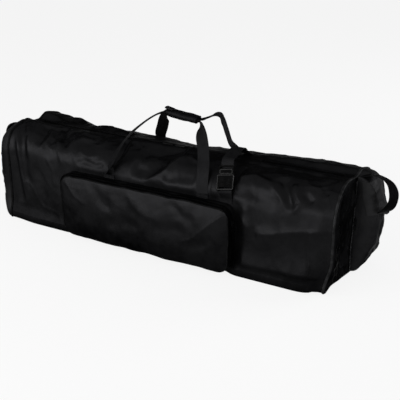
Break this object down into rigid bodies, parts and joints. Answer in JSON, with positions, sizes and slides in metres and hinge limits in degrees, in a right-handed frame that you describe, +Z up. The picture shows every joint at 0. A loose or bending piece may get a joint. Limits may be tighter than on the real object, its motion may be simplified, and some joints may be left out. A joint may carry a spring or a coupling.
{
  "type": "drum hardware case",
  "caption": "Long soft nylon case for drum stands, with a zipped top, front pocket, wrapped carry handles, end handles and a buckled strap.",
  "frame": {"origin": "on the floor, below the middle of the whole part's box", "axes": "+X along the case, to the right as seen from the pocket side; -Y towards the pocket side; +Z up"},
  "size_m": [1.3656, 0.351, 0.435],
  "materials": {
    "nylon_cloth": "plain woven nylon with a soft sheen",
    "padded_wrap": "padded woven nylon",
    "webbing": "heavy woven webbing",
    "binding": "piped binding tape",
    "zip_tape": "zip tape and coil teeth",
    "zip_metal": "dark gunmetal, worn bright on its edges",
    "buckle_plastic": "moulded acetal, fine matt",
    "board": "stiffening board"
  },
  "bodies": {
    "case": {"base_board": "board", "bottom_panel": "nylon_cloth", "buckle_socket": "buckle_plastic", "front_panel": "nylon_cloth", "front_strap_left": "webbing", "front_strap_right": "webbing", "left_end_band": "nylon_cloth", "left_end_front": "nylon_cloth", "left_end_handle": "webbing", "left_end_patch": "nylon_cloth", "left_end_rear": "nylon_cloth", "left_end_welt": "binding", "left_end_zip": "zip_tape", "lower_strap": "webbing", "pocket_gusset": "nylon_cloth", "pocket_zip_inner": "zip_tape", "rear_panel": "nylon_cloth", "rear_strap_left": "webbing", "rear_strap_right": "webbing", "rear_web": "webbing", "right_end_band": "nylon_cloth", "right_end_front": "nylon_cloth", "right_end_handle": "webbing", "right_end_patch": "nylon_cloth", "right_end_rear": "nylon_cloth", "right_end_welt": "binding", "right_end_zip": "zip_tape", "slack_strap": "webbing", "strap_band": "nylon_cloth"},
    "front_flap_left": {"front_flap_left": "nylon_cloth", "front_zip_left": "zip_tape"},
    "front_flap_right": {"front_flap_right": "nylon_cloth", "front_zip_right": "zip_tape"},
    "rear_flap_left": {"rear_flap_left": "nylon_cloth", "rear_zip_left": "zip_tape"},
    "rear_flap_right": {"rear_flap_right": "nylon_cloth", "rear_zip_right": "zip_tape"},
    "front_handle": {"front_handle": "webbing", "front_grip_half": "padded_wrap"},
    "rear_handle": {"rear_handle": "webbing", "rear_grip_half": "padded_wrap"},
    "pocket_face": {"pocket_face": "nylon_cloth", "pocket_side_band": "nylon_cloth", "pocket_zip_outer": "zip_tape", "pocket_piping": "binding"},
    "buckle_plug": {"buckle_plug": "buckle_plastic"},
    "buckle_prong_left": {"buckle_prong_left": "buckle_plastic"},
    "buckle_prong_right": {"buckle_prong_right": "buckle_plastic"},
    "left_end_pull": {"left_end_pull": "zip_metal"},
    "left_end_slider": {"left_end_slider": "zip_metal"},
    "main_pull_left": {"main_pull_left": "zip_metal"},
    "main_pull_right": {"main_pull_right": "zip_metal"},
    "main_slider_left": {"main_slider_left": "zip_metal"},
    "main_slider_right": {"main_slider_right": "zip_metal"},
    "pocket_pull": {"pocket_pull": "zip_metal"},
    "pocket_slider": {"pocket_slider": "zip_metal"},
    "right_end_pull": {"right_end_pull": "zip_metal"},
    "right_end_slider": {"right_end_slider": "zip_metal"}
  },
  "joints": [
    {"name": "front_flap_left_open", "type": "hinge", "parent": "case", "child": "front_flap_left", "pos_m": [0, -0.1315, 0.23514], "axis": [1, 0, 0], "range_deg": [0, 105]},
    {"name": "rear_flap_left_open", "type": "hinge", "parent": "case", "child": "rear_flap_left", "pos_m": [0, 0.1745, 0.23514], "axis": [-1, 0, 0], "range_deg": [0, 105]},
    {"name": "front_flap_right_open", "type": "hinge", "parent": "case", "child": "front_flap_right", "pos_m": [0, -0.1315, 0.23514], "axis": [1, 0, 0], "range_deg": [0, 105]},
    {"name": "rear_flap_right_open", "type": "hinge", "parent": "case", "child": "rear_flap_right", "pos_m": [0, 0.1745, 0.23514], "axis": [-1, 0, 0], "range_deg": [0, 105]},
    {"name": "front_handle_swing", "type": "hinge", "parent": "front_flap_left", "child": "front_handle", "pos_m": [0, -0.1315, 0.23514], "axis": [-1, 0, 0], "range_deg": [-115, 0]},
    {"name": "rear_handle_swing", "type": "hinge", "parent": "rear_flap_left", "child": "rear_handle", "pos_m": [0, 0.1745, 0.23514], "axis": [1, 0, 0], "range_deg": [-142, 0]},
    {"name": "pocket_face_fold", "type": "hinge", "parent": "case", "child": "pocket_face", "pos_m": [0, -0.15465, 0.022], "axis": [1, 0, 0], "range_deg": [0, 85]},
    {"name": "main_slider_left_run", "type": "slide", "parent": "front_flap_left", "child": "main_slider_left", "axis": [-1, 0, 0], "range_m": [0, 0.5]},
    {"name": "main_pull_left_turn", "type": "hinge", "parent": "main_slider_left", "child": "main_pull_left", "pos_m": [-0.026, 0.0215, 0.3138], "axis": [0, 1, 0], "range_deg": [0, 170]},
    {"name": "main_slider_right_run", "type": "slide", "parent": "front_flap_left", "child": "main_slider_right", "axis": [1, 0, 0], "range_m": [0, 0.53]},
    {"name": "main_pull_right_turn", "type": "hinge", "parent": "main_slider_right", "child": "main_pull_right", "pos_m": [0, 0.0215, 0.3138], "axis": [0, -1, 0], "range_deg": [0, 170]},
    {"name": "right_end_slider_run", "type": "slide", "parent": "case", "child": "right_end_slider", "axis": [0, 0, -1], "range_m": [0, 0.135]},
    {"name": "right_end_pull_turn", "type": "hinge", "parent": "right_end_slider", "child": "right_end_pull", "pos_m": [0.5898, 0.0215, 0.178], "axis": [0, -1, 0], "range_deg": [0, 170]},
    {"name": "left_end_slider_run", "type": "slide", "parent": "case", "child": "left_end_slider", "axis": [0, 0, -1], "range_m": [0, 0.135]},
    {"name": "left_end_pull_turn", "type": "hinge", "parent": "left_end_slider", "child": "left_end_pull", "pos_m": [-0.5898, 0.0215, 0.178], "axis": [0, 1, 0], "range_deg": [0, 170]},
    {"name": "pocket_slider_run", "type": "slide", "parent": "case", "child": "pocket_slider", "axis": [0, 0, -1], "range_m": [0, 0.105]},
    {"name": "pocket_pull_turn", "type": "hinge", "parent": "pocket_slider", "child": "pocket_pull", "pos_m": [0.2866, -0.15465, 0.176], "axis": [0, -1, 0], "range_deg": [0, 170]},
    {"name": "buckle_plug_out", "type": "slide", "parent": "case", "child": "buckle_plug", "axis": [-0.1796, 0.4489, 0.8754], "range_m": [0, 0.034]},
    {"name": "buckle_prong_left_bend", "type": "hinge", "parent": "buckle_plug", "child": "buckle_prong_left", "pos_m": [0.22441, -0.1161, 0.29886], "axis": [0, -0.8898, 0.4563], "range_deg": [0, 6], "stiffness_Nm_per_rad": 0.05},
    {"name": "buckle_prong_right_bend", "type": "hinge", "parent": "buckle_plug", "child": "buckle_prong_right", "pos_m": [0.26317, -0.11287, 0.30515], "axis": [0, 0.8898, -0.4563], "range_deg": [0, 6], "stiffness_Nm_per_rad": 0.05}
  ]
}
